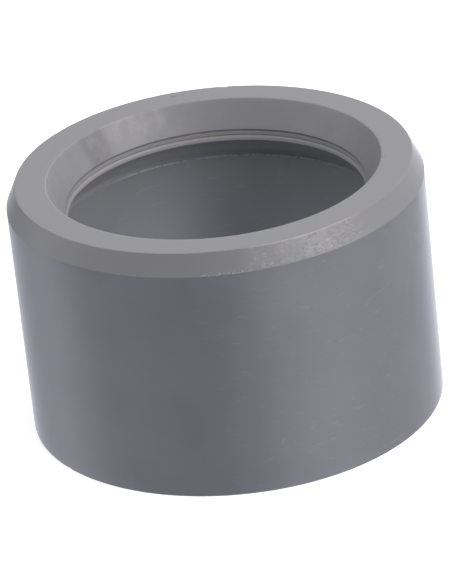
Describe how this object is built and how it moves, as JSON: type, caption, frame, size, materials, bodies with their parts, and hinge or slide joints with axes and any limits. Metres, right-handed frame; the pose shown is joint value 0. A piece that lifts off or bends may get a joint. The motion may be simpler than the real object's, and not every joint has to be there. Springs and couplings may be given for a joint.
{
  "type": "reducing bush",
  "caption": "Short concentric reducing bush: chamfered outer spigot, smaller cement socket inside, and a lip below a conical flare that stops the pipe.",
  "frame": {"origin": "centre of the socket mouth face, which is the bottom of the part's box", "axes": "+Z along the pipe axis from the socket mouth to the chamfered nose; X and Y are free, because the part is round"},
  "size_m": [0.05, 0.05, 0.031],
  "materials": {
    "grey_pvc": "rigid grey PVC, satin moulded walls, matte turned end faces"
  },
  "bodies": {
    "root": {"reducer_bush": "grey_pvc"}
  },
  "joints": []
}
